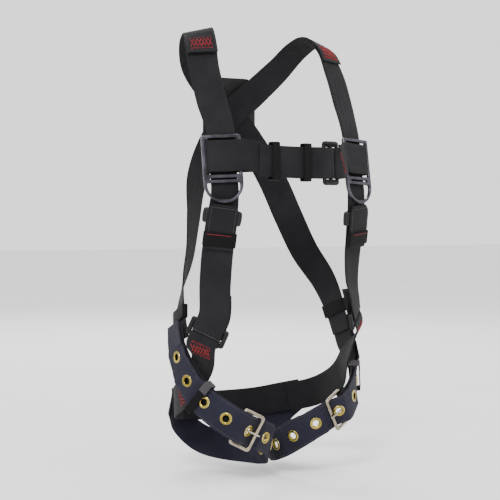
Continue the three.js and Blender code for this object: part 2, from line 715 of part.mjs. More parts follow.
const pairs = [
  ['torso_strap', torsoStrap, webbing],
  ['hip_strap', hipStrap, webbing],
  ['leg_buckle_strap', legBuckleStrap, webbing],
  ['leg_strap', legStrap, legWebbing],
  ['chest_ring', chestRing, gunmetal],
  ['adjuster_frame', adjusterFrame, blackMetal],
  ['adjuster_bar', adjusterBar, blackMetal],
  ['leg_buckle', legBuckle, nickel],
  ['buckle_tongue', buckleTongue, nickel],
  ['leg_keeper', legKeeper, trim],
  ['back_keeper', backKeeper, trim],
  ['lanyard_keeper_slider', keeperSlider, trim],
  ['lanyard_keeper_flap', keeperFlap, webbing],
  ['lanyard_keeper_tab', keeperTab, trim],
];
for (const [name, build, material] of pairs) addPair(name, build, material);
for (let k = 0; k < GROMMET_COUNT; k++) {
  addPair(`grommet_${k + 1}`, (side) => spool(grommetFrames(side)[k], GROMMET_HOLE, 0), brass);
}
add('back_strap_left', backStrap('left'), webbing);
add('back_strap_right', mirrored(backStrap('right')), webbing);
add('seat_strap', seatStrap(), webbing);
add('chest_strap_right', chestStrapLong(), webbing);
add('chest_loop_left', chestLoopShort(), webbing);
add('chest_buckle', chestBuckle(), blackMetal);
add('chest_keeper_inner', chestKeeper(-41, -97.2, 394.5), trim);
add('chest_keeper_outer', chestKeeper(10, -99.8, 393.3), trim);
add('dorsal_plate', dorsalPlate(), trim);
add('dorsal_d_ring', dorsalRing(), gunmetal);

export default group;
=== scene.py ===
import json
import math
from collections import namedtuple
from math import cos, pi, sin

import bmesh
import bpy
import numpy as np
from mathutils import Matrix, Vector

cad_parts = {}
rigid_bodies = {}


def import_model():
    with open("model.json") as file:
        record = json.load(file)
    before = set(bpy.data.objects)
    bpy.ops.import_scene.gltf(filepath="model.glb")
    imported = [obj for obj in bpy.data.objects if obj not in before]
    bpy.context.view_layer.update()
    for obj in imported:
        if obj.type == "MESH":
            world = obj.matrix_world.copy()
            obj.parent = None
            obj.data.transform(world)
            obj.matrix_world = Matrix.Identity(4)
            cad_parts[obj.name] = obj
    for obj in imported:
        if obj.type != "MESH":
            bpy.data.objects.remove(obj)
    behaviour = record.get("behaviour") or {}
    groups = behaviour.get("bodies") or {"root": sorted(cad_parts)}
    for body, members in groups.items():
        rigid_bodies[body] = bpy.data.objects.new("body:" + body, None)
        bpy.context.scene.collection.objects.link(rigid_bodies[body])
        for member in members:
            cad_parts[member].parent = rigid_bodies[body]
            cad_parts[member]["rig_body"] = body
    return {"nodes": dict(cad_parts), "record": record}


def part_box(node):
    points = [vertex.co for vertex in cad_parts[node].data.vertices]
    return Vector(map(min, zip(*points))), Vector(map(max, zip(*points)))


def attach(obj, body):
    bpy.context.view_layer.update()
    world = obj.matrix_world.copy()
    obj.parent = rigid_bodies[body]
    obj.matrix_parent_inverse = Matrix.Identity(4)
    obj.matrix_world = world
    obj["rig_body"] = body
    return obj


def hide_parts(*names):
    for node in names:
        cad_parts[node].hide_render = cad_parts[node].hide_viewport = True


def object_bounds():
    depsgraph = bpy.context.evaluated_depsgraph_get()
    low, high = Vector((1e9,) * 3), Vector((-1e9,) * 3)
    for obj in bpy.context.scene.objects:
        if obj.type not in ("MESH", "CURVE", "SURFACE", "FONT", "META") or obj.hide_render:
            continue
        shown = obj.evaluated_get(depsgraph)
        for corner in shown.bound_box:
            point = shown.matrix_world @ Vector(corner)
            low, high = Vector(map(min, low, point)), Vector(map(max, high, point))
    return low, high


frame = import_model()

# Safety harness in its worn shape, wearer facing -Y. Straps are webbing ribbons swept along
# the part's own routes, in millimetres; MM turns them into metres when a mesh is made.
CAD_BOX = [list(corner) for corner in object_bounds()]
MM = 0.001

# ---- driving dimensions, millimetres, as in the part ----
WEB = 45  # webbing width
THICK = 2  # webbing thickness
FOLD = 4.4  # radius of a fold round a bar
BAR = 5  # width of ring and buckle bars
RING_WIDTH = 57
RING_TOP = 45
RING_WINDOW = -12
RING_SLOT = -18.2
RING_EYE = -24
RING_THICK = 5
RING_SHIFT = 2
GROMMET_PITCH = 40
GROMMET_R = 9
GROMMET_HOLE = 5.3
GROMMET_COUNT = 8
TONGUE_GROMMET = 3
AT_TONGUE = -1
BUCKLE_LENGTH = 34
BUCKLE_WIDTH = 56
BUCKLE_THICK = 4.2
ADJUSTER_WIDTH = 60
ADJUSTER_HEIGHT = 27
ADJUSTER_MIDDLE = -1.5
ADJUSTER_FOOT = ADJUSTER_MIDDLE - ADJUSTER_HEIGHT / 2 + BAR / 2
STEP = 2.5  # spacing of ribbon sections along a strap
TURN_STEPS = 18  # sections in a half turn round a bar
SURFACE = THICK / 2  # webbing face above its centre

SIDES = ("left", "right")
TAU = 2 * pi


# ---- vectors ----
def vec(*xyz):
    return np.array(xyz, float)


UP = vec(0, 0, 1)


def unit(v):
    return v / np.linalg.norm(v)


def smooth(f):
    f = min(max(f, 0), 1)
    return f * f * (3 - 2 * f)


# A section of a strap: centre p, running direction t, outward n, width direction w.
Frame = namedtuple("Frame", "p t n w width")


class Route:
    """Centripetal curve through points."""

    def __init__(self, points):
        inner = [np.array(p, float) for p in points]
        self.spans = len(inner) - 1
        self.points = [2 * inner[0] - inner[1], *inner, 2 * inner[-1] - inner[-2]]

    def span(self, s):
        k = min(max(s, 0), 1) * self.spans
        i = min(int(k), self.spans - 1)
        x0, x1, x2, x3 = self.points[i:i + 4]
        d0, d1, d2 = (np.linalg.norm(b - a) ** 0.5 for a, b in ((x0, x1), (x1, x2), (x2, x3)))
        t1 = ((x1 - x0) / d0 - (x2 - x0) / (d0 + d1) + (x2 - x1) / d1) * d1
        t2 = ((x2 - x1) / d1 - (x3 - x1) / (d1 + d2) + (x3 - x2) / d2) * d1
        return x1, t1, 3 * (x2 - x1) - 2 * t1 - t2, 2 * (x1 - x2) + t1 + t2, k - i

    def point(self, s):
        a, b, c, d, f = self.span(s)
        return a + f * (b + f * (c + f * d))

    def tangent(self, s):
        _, b, c, d, f = self.span(s)
        return unit(b + f * (2 * c + f * 3 * d))


class Waypoints:
    """A strap's route: rows of x, y, z, outward x, y, z and an optional width."""

    def __init__(self, rows):
        self.rows = rows
        self.route = Route([row[:3] for row in rows])

    def at(self, s, lift=0):
        k = min(s * (len(self.rows) - 1), len(self.rows) - 1 - 1e-9)
        a, b = self.rows[int(k)], self.rows[int(k) + 1]
        f = k - int(k)
        t = self.route.tangent(s)
        n = (1 - f) * unit(vec(*a[3:6])) + f * unit(vec(*b[3:6]))
        n = unit(n - t * n.dot(t))
        widths = [row[6] if len(row) > 6 else WEB for row in (a, b)]
        width = widths[0] * (1 - f) + widths[1] * f
        return Frame(self.route.point(s) + n * lift, t, n, np.cross(t, n), width)

    def frames(self, steps, lift=0, start=0, end=1):
        return [self.at(start + (end - start) * i / steps, lift) for i in range(steps + 1)]


def straightened(frames):
    """Tangents and normals again from the lifted points."""
    made = []
    for i, f in enumerate(frames):
        t = unit(frames[min(i + 1, len(frames) - 1)].p - frames[max(i - 1, 0)].p)
        n = unit(f.n - t * f.n.dot(t))
        made.append(f._replace(t=t, n=n, w=np.cross(t, n)))
    return made


def half_turn(last, radius, way):
    """The webbing's half turn round a bar, to its outside (1) or its inside (-1)."""
    centre = last.p + last.n * radius * way
    made = []
    for i in range(1, TURN_STEPS + 1):
        a = pi * i / TURN_STEPS
        p = centre - last.n * way * radius * cos(a) + last.t * radius * sin(a)
        t = last.t * cos(a) + last.n * way * sin(a)
        made.append(last._replace(p=p, t=t, n=np.cross(last.w, t)))
    return made


def straight_run(last, length):
    steps = max(round(length / STEP), 2)
    return [last._replace(p=last.p + last.t * length * i / steps) for i in range(1, steps + 1)]


def between(a, b, f):
    t = unit(a.t * (1 - f) + b.t * f)
    n = a.n * (1 - f) + b.n * f
    n = unit(n - t * n.dot(t))
    width = a.width * (1 - f) + b.width * f
    return Frame(a.p * (1 - f) + b.p * f, t, n, np.cross(t, n), width)


class Path:
    """A strap's sections with the distance along them."""

    def __init__(self, frames):
        self.frames = frames
        steps = [np.linalg.norm(b.p - a.p) for a, b in zip(frames, frames[1:])]
        self.along = np.concatenate([[0], np.cumsum(steps)])
        self.length = self.along[-1]

    def at(self, distance):
        i = int(np.clip(np.searchsorted(self.along, distance), 1, len(self.frames) - 1))
        f = (distance - self.along[i - 1]) / (self.along[i] - self.along[i - 1])
        a, b = self.frames[i - 1], self.frames[i]
        return between(a, b, f)

    def point(self, along, across, height):
        f = self.at(along)
        return f.p + f.w * across + f.n * height


# ---- places on a strap: local x across, y up the piece, z outward ----
def basis(p, up, n):
    u = unit(np.cross(up, n))
    return place_matrix(u, unit(np.cross(n, u)), unit(n), p)


def place_matrix(x, y, z, p):
    m = Matrix.Identity(4)
    for column, v in enumerate((x, y, z, p)):
        for row in range(3):
            m[row][column] = v[row]
    return m


def on_strap(f, lift=0):
    return basis(f.p + f.n * lift, -f.t, f.n)


def local(matrix, *xyz):
    return np.array(matrix @ Vector(xyz))


def axis(matrix, column):
    return np.array(matrix.col[column][:3])


# ---- strap routes, wearer's left side ----
LEG_RISE = {"left": 18, "right": 0}
ADJUSTER_Z = {"left": 167, "right": 150}
BACK_LIFT = {"left": 0, "right": 4}
SHOULDER = (98, 26, 582)
TORSO_STEPS = 33
RING_AT = 15 / TORSO_STEPS
TAIL_SECTIONS = 5


def torso_route(side):
    z = ADJUSTER_Z[side]
    return Waypoints([
        (*SHOULDER, 0.2, 0.1, 1),
        (107, 2, 566, 0.3, -0.5, 0.8),
        (112, -18, 530, 0.3, -0.9, 0.5),
        (112, -43, 479, 0.3, -0.9, 0.35),
        (110, -64.5, 436, 0.31, -0.95, 0.16, 40),
        (110.3, -73, 386, 0.31, -0.95, 0.16, 38),
        (110.8, -79, 348, 0.31, -0.95, 0.16, 40),
        (114, -72, 300, 0.35, -0.93, -0.1),
        (115, -63, 258, 0.45, -0.9, -0.1),
        (116.5, -60, 218, 0.55, -0.83, -0.05),
        (120, -63, z + 25, 0.66, -0.75, 0),
        (128, -57.5, z + 3, 0.7, -0.71, 0.03),
    ])


def adjuster_basis(side):
    return on_strap(torso_route(side).at(1), -FOLD)


def hip_route(side):
    place = adjuster_basis(side)
    heights = (ADJUSTER_FOOT, ADJUSTER_FOOT - 10)
    leaving = [(*local(place, 0, v, FOLD), *axis(place, 2)) for v in heights]
    return Waypoints([
        *leaving,
        (123, -32, 104, 0.92, -0.38, 0),
        (127, -8, 72, 1, -0.05, 0),
        (128, 30, 50, 0.95, 0.32, -0.1),
        (120, 64, 36, 0.75, 0.65, -0.1),
        (94, 88, 28, 0.5, 0.86, -0.1),
    ])


BACK_ROUTE = Waypoints([
    (111.4, -12, 551, 0.3, -0.75, 0.6),
    (108.2, 0, 569.6, 0.3, -0.5, 0.8),
    (98.8, 27, 586, 0.2, 0.1, 1),
    (90, 58, 575, 0.1, 0.7, 0.7),
    (72, 86, 545, 0, 0.95, 0.3),
    (36, 100, 508, 0, 1, 0.1),
    (0, 105, 476, 0, 1, 0),
    (-38, 102, 428, -0.1, 1, 0),
    (-68, 92, 372, -0.35, 0.92, 0),
    (-84, 72, 315, -0.6, 0.8, 0),
    (-100, 52, 262, -0.75, 0.65, 0),
    (-122, 32, 215, -0.9, 0.4, 0),
    (-133, 18, 172, -1, 0.15, 0),
    (-136, 6, 136, -1, 0, 0),
])


def leg_route(side):
    up = LEG_RISE[side]
    return Waypoints([
        (115, 87, 34, 0.7, 0.72, -0.1),
        (90, 109, 3, 0.25, 0.9, -0.3),
        (57, 95, -28, -0.3, 0.8, -0.4),
        (16, 20, -34, -0.95, 0.15, -0.2),
        (12, -24, -28 + up * 0.3, -0.9, -0.4, 0),
        (24, -58, -12 + up * 0.5, -0.6, -0.8, -0.1),
        (48, -76, up * 0.8, -0.2, -1, -0.15),
        (76, -78, 12 + up, 0.15, -1, -0.1),
        (100, -64, 30 + up, 0.55, -0.85, 0),
        (119, -40, 54 + up * 0.8, 0.8, -0.6, 0),
        (132, -20, 86 + up * 0.4, 0.95, -0.3, 0),
        (134, 2, 124, 1, 0, 0),
        (132, 12, 158, 1, 0.1, 0),
    ])


SEAT_HALF = [
    (0, 110, 20, 0, 1, 0),
    (50, 106, 22, 0.25, 0.97, -0.05),
    (88, 97, 28, 0.5, 0.86, -0.1),
    (112, 80, 34, 0.72, 0.7, -0.1),
]
SEAT_LIFT = 3.4
HIP_END = 5  # hip strap past its fold round the adjuster
BUCKLE_AT = 7 / 12  # where the buckle lies along the leg strap's route
BUCKLE_SPAN = 0.05  # a short way along the route, either side of the buckle
BUCKLE_LIFT = 4.4
OVER_BUCKLE = 15  # rise of the leg strap over the buckle
RISE_SPAN = 0.032
HINGE_REACH = BUCKLE_LENGTH / 2 - BAR / 2
HINGE_END = 15  # leg buckle strap past its fold round the hinge bar
UNDER_LEG_STRAP = 9.6


def over_buckle(s):
    return OVER_BUCKLE * smooth((s - BUCKLE_AT + RISE_SPAN) / (2 * RISE_SPAN))


def leg_frames(side, start, end, steps, lift_at):
    route = leg_route(side)
    places = [start + (end - start) * i / steps for i in range(steps + 1)]
    return straightened([route.at(s, lift_at(s)) for s in places])


def buckle_frame(side):
    start, end = BUCKLE_AT - BUCKLE_SPAN, BUCKLE_AT + BUCKLE_SPAN
    return leg_frames(side, start, end, 2, lambda s: BUCKLE_LIFT)[1]


def buckle_basis(side):
    """Local x runs along the strap towards the hip, z outward."""
    b = buckle_frame(side)
    return place_matrix(b.t, np.cross(b.n, b.t), b.n, b.p)


# ---- strap paths ----
def torso_path(side):
    """From the shoulder seam down, round the adjuster bar and a little way up behind itself."""
    frames = torso_route(side).frames(240)
    turn = half_turn(frames[-1], FOLD, -1)
    behind = torso_route(side).frames(36, -2 * FOLD, 1 - TAIL_SECTIONS / TORSO_STEPS)[:-1]
    tail = [f._replace(t=-f.t, n=-f.n) for f in reversed(behind)]
    return Path([*frames, *turn, *tail])


def back_path(side):
    return Path(BACK_ROUTE.frames(340, BACK_LIFT[side]))


def hip_path(side):
    """From its end behind the adjuster's lower bar, round that bar and back past the hip."""
    frames = hip_route(side).frames(96)
    first = frames[0]
    up = first._replace(t=-first.t, w=-first.w)
    turn = half_turn(up, FOLD, -1)
    end = straight_run(turn[-1], HIP_END)
    loop = [f._replace(t=-f.t, w=first.w) for f in [*turn, *end]]
    return Path([*reversed(loop), *frames])


def seat_path():
    other = [(-x, y, z, -a, b, c) for x, y, z, a, b, c in reversed(SEAT_HALF[1:])]
    return Path(Waypoints([*other, *SEAT_HALF]).frames(110, SEAT_LIFT))


def buckle_strap_path(side):
    """From the hip, under the leg strap, to the hinge bar of the buckle and back beneath."""
    b = buckle_frame(side)
    frames = leg_frames(side, 1, BUCKLE_AT + 0.085, 90, lambda s: UNDER_LEG_STRAP)
    p = b.p + b.t * HINGE_REACH + b.n * FOLD
    hinge = b._replace(p=p, t=-b.t, w=np.cross(-b.t, b.n))
    count = max(round(np.linalg.norm(p - frames[-1].p) / STEP), 2)
    bridge = [between(frames[-1], hinge, i / count) for i in range(1, count)]
    turn = half_turn(hinge, FOLD, -1)
    return Path([*frames, *bridge, hinge, *turn, *straight_run(turn[-1], HINGE_END)])


LEG_SECTIONS = 336  # ribbon sections along the leg strap
FLAT = GROMMET_R + 0.5  # the webbing lies flat this far from a grommet's centre
EASE = 7  # and bends back to its curve over this length


def leg_path(side):
    """The leg strap and the sections at its grommets, where the webbing is clamped flat."""
    frames = leg_frames(side, 0, 1, LEG_SECTIONS, over_buckle)
    curve = Path(frames)
    middle = curve.along[round(BUCKLE_AT * LEG_SECTIONS)]
    places = [middle + (k - TONGUE_GROMMET) * GROMMET_PITCH + AT_TONGUE for k in range(GROMMET_COUNT)]
    seats = [curve.at(place) for place in places]
    made = []
    for f, distance in zip(frames, curve.along):
        k = int(np.argmin([abs(distance - place) for place in places]))
        offset = distance - places[k]
        hold = 1 - smooth((abs(offset) - FLAT) / EASE)
        flat = seats[k].p + seats[k].t * offset
        n = f.n * (1 - hold) + seats[k].n * hold
        made.append(f._replace(p=f.p * (1 - hold) + flat * hold, n=unit(n)))
    return Path(straightened(made)), seats


# ---- chest strap ----
CHEST_UP = 14  # strap centre above the ring's own centre
BEHIND = -3.4  # strap behind and in front of the torso strap's centre
INFRONT = 9.2
RING_FOLD_AT = 17  # where it folds round the ring's side
CHEST_BAR_AT = 12  # side bars of the chest buckle from its middle bar
CHEST_END = 10  # chest loop past its fold round the buckle's bar
CHEST_BUCKLE = (51, -101, 393)
CHEST_BUCKLE_OUT = (0.1, -1, 0.05)


def level_frames(points, steps, first=UP, hold=0.25):
    """Sections of a level strap, whose width starts along `first` and turns upright after
    the part `hold` of its length."""
    route = Route(points)
    made = []
    for i in range(steps + 1):
        t = route.tangent(i / steps)
        level = smooth((i / steps - hold) / 0.4)
        up = first * (1 - level) + UP * level
        w = unit(up - t * up.dot(t))
        made.append(Frame(route.point(i / steps), t, np.cross(w, t), w, WEB))
    return made


def ring_frame(side):
    return torso_route(side).at(RING_AT)


def at_ring(side, across, out):
    return local(on_strap(ring_frame(side)), across, CHEST_UP, out)


def ring_loop(side, rear_length):
    """The run behind the torso strap and its fold round the ring, with the width direction."""
    place = on_strap(ring_frame(side))
    v = axis(place, 1)
    ends = [at_ring(side, -rear_length, BEHIND), at_ring(side, RING_FOLD_AT, BEHIND)]
    rear = [f._replace(w=v, n=np.cross(v, f.t)) for f in level_frames(ends, 20, v)]
    facing = 1 if rear[-1].n.dot(axis(place, 2)) > 0 else -1
    return rear, half_turn(rear[-1], (INFRONT - BEHIND) / 2, facing), v


def chest_buckle_basis(mirror):
    m = -1 if mirror else 1
    p = vec(m * CHEST_BUCKLE[0], *CHEST_BUCKLE[1:])
    return basis(p, UP, vec(m * CHEST_BUCKLE_OUT[0], *CHEST_BUCKLE_OUT[1:]))


def buckle_fold(last, place, way):
    t, w = -axis(place, 0), axis(place, 1)
    n = np.cross(w, t)
    facing = 1 if n.dot(axis(place, 2)) > 0 else -1
    return half_turn(last._replace(t=t, w=w, n=n), FOLD, way * facing)


def chest_long_path():
    """Built on the +X side and mirrored, so the buckle is beyond the middle, at -X."""
    rear, turn, v = ring_loop("right", 46)
    place = chest_buckle_basis(True)
    front = [turn[-1].p, at_ring("right", -12, INFRONT), at_ring("right", -34, INFRONT),
             vec(48, -95.5, 395), vec(8, -98, 393),
             local(place, 16, 0, -FOLD), local(place, 0, 0, -FOLD)]
    run = level_frames(front, 80, v)[1:]
    fold = buckle_fold(run[-1], place, 1)
    tail = [fold[-1].p, local(place, 17, 0, FOLD), vec(-12, -101.4, 393.2),
            vec(20, -101, 393.6), vec(64, -97.2, 395)]
    return Path([*rear, *turn, *run, *fold, *level_frames(tail, 60)[1:]])


def chest_short_path():
    rear, turn, v = ring_loop("left", 26)
    place = chest_buckle_basis(False)
    front = [turn[-1].p, at_ring("left", -12, INFRONT + 1), at_ring("left", -29, INFRONT + 2),
             local(place, CHEST_BAR_AT + 6, 0, FOLD), local(place, CHEST_BAR_AT, 0, FOLD)]
    run = level_frames(front, 36, v, 0.6)[1:]
    fold = buckle_fold(run[-1], place, -1)
    return Path([*rear, *turn, *run, *fold, *straight_run(fold[-1], CHEST_END)])


# ---- meshes ----
def linked(name, data):
    obj = bpy.data.objects.new(name, data)
    bpy.context.scene.collection.objects.link(obj)
    return obj


def final_mesh(obj):
    bpy.context.view_layer.update()
    evaluated = obj.evaluated_get(bpy.context.evaluated_depsgraph_get())
    return bpy.data.meshes.new_from_object(evaluated)


def distances(points, closed=False):
    """How far each point lies along the line through them, in metres."""
    ends = [*points[1:], points[0]] if closed else points[1:]
    return np.concatenate([[0], np.cumsum([math.dist(a, b) for a, b in zip(points, ends)])]) * MM


def loft(rings, across, along, closed=False):
    """Mesh through closed rings of points. across and along are the UV map, in metres, with
    one more value in across than a ring has points, and in along one per ring (plus one if closed)."""
    count, around = len(rings), len(rings[0])
    mesh = bpy.data.meshes.new("loft")
    faces, uv = [], []
    for i in range(count if closed else count - 1):
        for k in range(around):
            a, b = i * around, ((i + 1) % count) * around
            m = (k + 1) % around
            faces.append((a + k, a + m, b + m, b + k))
            uv += [(across[k], along[i]), (across[k + 1], along[i]),
                   (across[k + 1], along[i + 1]), (across[k], along[i + 1])]
    if not closed:
        faces.append(tuple(reversed(range(around))))
        faces.append(tuple(range((count - 1) * around, count * around)))
        uv += [(across[k], along[0]) for k in reversed(range(around))]
        uv += [(across[k], along[-1]) for k in range(around)]
    points = np.concatenate([np.array(r, float) for r in rings]) * MM
    mesh.from_pydata(points.tolist(), [], faces)
    layer = mesh.uv_layers.new(name="Weave")
    layer.data.foreach_set("uv", np.array(uv, np.float32).ravel())
    return mesh


def edited(mesh, work):
    bm = bmesh.new()
    bm.from_mesh(mesh)
    work(bm)
    bm.to_mesh(mesh)
    bm.free()
    return mesh


def outward_normals(mesh):
    return edited(mesh, lambda bm: bmesh.ops.recalc_face_normals(bm, faces=bm.faces))


def welded(mesh):
    return edited(mesh, lambda bm: bmesh.ops.remove_doubles(bm, verts=bm.verts, dist=1e-6))


def joined(meshes):
    bm = bmesh.new()
    for mesh in meshes:
        bm.from_mesh(mesh)
        bpy.data.meshes.remove(mesh)
    made = bpy.data.meshes.new("joined")
    bm.to_mesh(made)
    bm.free()
    return made


SHARP = math.radians(40)


def piece(name, mesh, look, node, side="left", replaces=True):
    """Adds a finished piece, which rides on the body of the CAD node that it belongs to."""
    outward_normals(mesh)
    if side == "right":
        mesh.transform(Matrix.Diagonal((-1, 1, 1, 1)))
        mesh.flip_normals()
    mesh.name = name
    mesh.materials.clear()
    mesh.materials.append(look)
    mesh.shade_smooth()
    mesh.set_sharp_from_angle(angle=SHARP)
    obj = linked(name, mesh)
    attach(obj, frame["nodes"][node]["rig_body"])
    if replaces:
        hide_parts(node)


def whole(node, ending, mesh, look, side="left"):
    """The piece that stands for the node's whole solid."""
    piece(f"{node}_{ending}", mesh, look, node, side)


def webbing_section(width, thickness):
    """Closed outline of flat webbing with rounded selvedges: across and height of each point."""
    edge = thickness / 2
    half = width / 2 - edge
    face = [(half * (1 - 2 * i / 8), edge) for i in range(9)]
    turn = [pi / 2 + pi * i / 4 for i in range(1, 4)]
    left = [(-half + edge * cos(a), edge * sin(a)) for a in turn]
    top = face + left
    return top + [(-x, -h) for x, h in top]


def ribbon(path, thickness=THICK):
    rings = []
    for f in path.frames:
        rings.append([f.p + f.w * x + f.n * h for x, h in webbing_section(f.width, thickness)])
    return loft(rings, distances(webbing_section(WEB, thickness), True), path.along * MM)


DOME = [(0.35, 0.94), (0.75, 0.66), (1, 0.2)]  # reach and radius, as parts of the rod's radius


def rounded_bar(points, radius, sides=8, ends=True):
    """Round rod through points, with domed ends."""
    points = [np.array(p, float) for p in points]
    tangents = [unit(points[min(i + 1, len(points) - 1)] - points[max(i - 1, 0)])
                for i in range(len(points))]
    helper = UP if abs(tangents[0][2]) < 0.9 else vec(1, 0, 0)
    u = unit(np.cross(tangents[0], helper))
    stations = []
    for p, t in zip(points, tangents):
        u = unit(u - t * u.dot(t))
        stations.append((p, u, np.cross(t, u), radius))
    if ends:
        tips = ((stations[0], -tangents[0]), (stations[-1], tangents[-1]))
        first, last = ([(p + t * radius * d, a, b, radius * r) for d, r in DOME]
                       for (p, a, b, _), t in tips)
        stations = [*reversed(first), *stations, *last]
    turn = [TAU * k / sides for k in range(sides)]
    rings = [[p + a * r * cos(q) + b * r * sin(q) for q in turn]
             for p, a, b, r in stations]
    across = [TAU * radius * k / sides * MM for k in range(sides + 1)]
    return loft(rings, across, distances([station[0] for station in stations]))


def outline(corners):
    """Closed outline through corners (x, y, radius), anticlockwise, with each corner rounded."""
    points = []
    for i, (x, y, r) in enumerate(corners):
        here = np.array([x, y], float)
        a = unit(np.array(corners[i - 1][:2]) - here)
        b = unit(np.array(corners[(i + 1) % len(corners)][:2]) - here)
        angle = math.acos(np.clip(a.dot(b), -1, 1))
        start, end = here + a * r / math.tan(angle / 2), here + b * r / math.tan(angle / 2)
        centre = here + unit(a + b) * r / sin(angle / 2)
        count = max(4, round(r * 1.6))
        for k in range(count + 1):
            f = k / count
            turn = f * pi / 2
            arm = unit((start - centre) * cos(turn) + (end - centre) * sin(turn))
            points.append(centre + arm * r)
    return points


def rectangle(width, height, x=0, y=0, r=1.0):
    w, h = width / 2, height / 2
    ways = ((1, -1), (1, 1), (-1, 1), (-1, -1))
    return outline([(x + w * i, y + h * k, r) for i, k in ways])


def plate(outer, holes, thickness, bevel, matrix):
    """Flat plate with rounded edges; the outlines are anticlockwise."""
    curve = bpy.data.curves.new("plate", "CURVE")
    curve.dimensions = "2D"
    curve.fill_mode = "BOTH"
    for loop in [outer, *(list(reversed(h)) for h in holes)]:
        spline = curve.splines.new("POLY")
        spline.points.add(len(loop) - 1)
        for point, (x, y) in zip(spline.points, loop):
            point.co = (x, y, 0, 1)
        spline.use_cyclic_u = True
    curve.extrude = thickness / 2 - bevel
    curve.bevel_depth = bevel
    curve.bevel_resolution = 3
    curve.offset = -bevel
    holder = linked("plate", curve)
    mesh = final_mesh(holder)
    bpy.data.objects.remove(holder)
    bpy.data.curves.remove(curve)
    mesh.transform(Matrix.Scale(MM, 4) @ matrix)
    return welded(mesh)


def cut(mesh, cutter):
    """Cuts one closed mesh out of another, keeping the UV map."""
    a, b = (linked("cut", outward_normals(m)) for m in (mesh, cutter))
    modifier = a.modifiers.new("cut", "BOOLEAN")
    modifier.operation = "DIFFERENCE"
    modifier.solver = "EXACT"
    modifier.object = b
    made = final_mesh(a)
    for o, m in ((a, mesh), (b, cutter)):
        bpy.data.objects.remove(o)
        bpy.data.meshes.remove(m)
    return made


def sleeve(f, inner_width, inner_depth, wall, length, lift=0):
    """Band round webbing at section f, with rolled edges. Its UV runs round it and along it."""
    width, depth = inner_width + wall, inner_depth + wall
    middle = rectangle(width, depth, r=wall * 0.8)
    along = np.cross(f.w, f.n)
    centre = f.p + f.n * lift
    edge = wall / 2
    walls = []
    for i in range(4):
        for k in range(3):
            a = pi / 2 * i + pi / 4 * k
            cx = (length / 2 - edge) * (1 if i in (0, 3) else -1)
            walls.append((cx + edge * cos(a), edge * sin(a)))
    rings = []
    for i, here in enumerate(middle):
        ahead, behind = middle[(i + 1) % len(middle)], middle[i - 1]
        tangent = unit(ahead - behind)
        out = np.array([tangent[1], -tangent[0]])
        ring = []
        for shift, grow in walls:
            x, y = here + out * grow
            ring.append(centre + f.w * x + f.n * y + along * shift)
        rings.append(ring)
    return loft(rings, distances(walls, True), distances(middle, True), closed=True)


# ---- stitching ----
THREAD = 0.42  # half thickness of sewing thread
SINK = 0.25  # a stitch's ends below the face
RISE = 0.2  # and its middle above it
ON_FACE = SURFACE + 0.25
TACK_LENGTH = 20
TACK_LEGS = 6
LEG_INSET = 3.4


def satin(path, start, end, half, pitch, height):
    """Dense zigzag of thread between two places given as (along, across)."""
    a, b = np.array(start, float), np.array(end, float)
    run = unit(b - a)
    side = np.array([-run[1], run[0]])
    count = max(round(np.linalg.norm(b - a) / pitch), 2)
    points = []
    for i in range(count + 1):
        flat = a + (b - a) * i / count + side * half * (1 if i % 2 else -1)
        points.append(path.point(*flat, height))
    return rounded_bar(points, THREAD, sides=5)


def w_tack(path, along, width=31):
    """Sewn pattern of the load-bearing seams: two bars, and two zigzags crossing between them."""
    top, bottom = along - TACK_LENGTH / 2, along + TACK_LENGTH / 2
    half = width / 2
    made = [satin(path, (place, -half), (place, half), 1.35, 0.8, ON_FACE) for place in (top, bottom)]
    corners = [(top + LEG_INSET if k % 2 else bottom - LEG_INSET, -half + width * k / TACK_LEGS)
               for k in range(TACK_LEGS + 1)]
    for points in (corners, [(top + bottom - x, y) for x, y in corners]):
        made += [satin(path, a, b, 0.5, 0.9, ON_FACE) for a, b in zip(points, points[1:])]
    return made


def stitches(path, place, start, end, height, pitch, gap):
    """Running stitch, where place(s) is a point of the row as (along, across)."""
    made = []
    for i in range(int((end - start) / pitch)):
        a = start + i * pitch
        marks = [(a, -SINK), (a + (pitch - gap) / 2, RISE), (a + pitch - gap, -SINK)]
        points = [path.point(*place(s), height + lift) for s, lift in marks]
        made.append(rounded_bar(points, THREAD * 0.8, sides=5))
    return made


def stitch_row(path, start, end, across, height=SURFACE):
    return stitches(path, lambda s: (s, across), start, end, height, 4.2, 1.1)


def cross_row(path, along, half, height=SURFACE, pitch=3.6, gap=0.9):
    return stitches(path, lambda s: (along, s), -half, half, height, pitch, gap)


def box_stitch(path, start, end, half):
    sides = [stitch_row(path, start, end, across) for across in (-half, half)]
    ends = [cross_row(path, along, half) for along in (start, end)]
    return [mesh for row in (*sides, *ends) for mesh in row]


